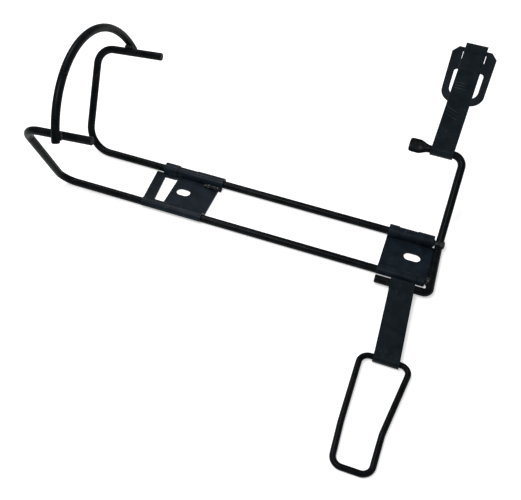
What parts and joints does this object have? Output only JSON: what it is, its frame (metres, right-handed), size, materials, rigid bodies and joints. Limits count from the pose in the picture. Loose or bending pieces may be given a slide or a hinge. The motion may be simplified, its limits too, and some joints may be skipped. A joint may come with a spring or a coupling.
{
  "type": "cylinder wall bracket",
  "caption": "Black wire wall bracket for an upright cylinder, with hooked foot rails, a front bow, folded plates, hinged straps, a wire bail and a latch lever.",
  "frame": {"origin": "on the wall face of the clamp plate, midway between the two rails and 8.5 mm from the plate's edge on the foot side", "axes": "+Z out of the wall, +X along the rails from the foot hooks to the clamp (up when it hangs on a wall), +Y across the rails towards the latch"},
  "size_m": [0.404, 0.4666, 0.1646],
  "materials": {
    "rod_paint": "semi-gloss black paint on bent steel rod",
    "wire_paint": "semi-gloss black paint on the bail wire",
    "plate_paint": "semi-gloss blue-black paint on pressed steel plate",
    "strap_paint": "satin blue-black paint on steel strap, lightly scuffed",
    "lever_paint": "semi-gloss blue-black paint on the pressed lever plate",
    "weld_paint": "rough painted weld bead"
  },
  "bodies": {
    "bracket": {"hook_rail_lower": "rod_paint", "hook_rail_upper": "rod_paint", "front_bow": "rod_paint", "hinge_rod": "rod_paint", "foot_plate": "plate_paint", "clamp_plate": "plate_paint", "weld_bow_lower": "weld_paint", "weld_bow_upper": "weld_paint", "weld_rail_end_lower": "weld_paint", "weld_rail_end_upper": "weld_paint", "weld_foot_plate": "weld_paint"},
    "lower_strap": {"lower_strap": "strap_paint"},
    "bail": {"bail": "wire_paint"},
    "latch_strap": {"latch_strap": "strap_paint"},
    "lever": {"lever_plate": "lever_paint"}
  },
  "joints": [
    {"name": "lower_strap_hinge", "type": "hinge", "parent": "bracket", "child": "lower_strap", "pos_m": [0.0192, -0.0422, 0.0058], "axis": [-1, 0, 0], "range_deg": [0, 100]},
    {"name": "bail_hinge", "type": "hinge", "parent": "lower_strap", "child": "bail", "pos_m": [0.02336, -0.13079, 0.00455], "axis": [-1, 0, 0], "range_deg": [0, 100]},
    {"name": "latch_strap_hinge", "type": "hinge", "parent": "bracket", "child": "latch_strap", "pos_m": [0.0211, 0.10005, 0.0626], "axis": [1, 0, 0], "range_deg": [-12, 100]},
    {"name": "lever_hinge", "type": "hinge", "parent": "latch_strap", "child": "lever", "pos_m": [0.02588, 0.2178, 0.11577], "axis": [1, 0, 0], "range_deg": [-62, 120]}
  ]
}
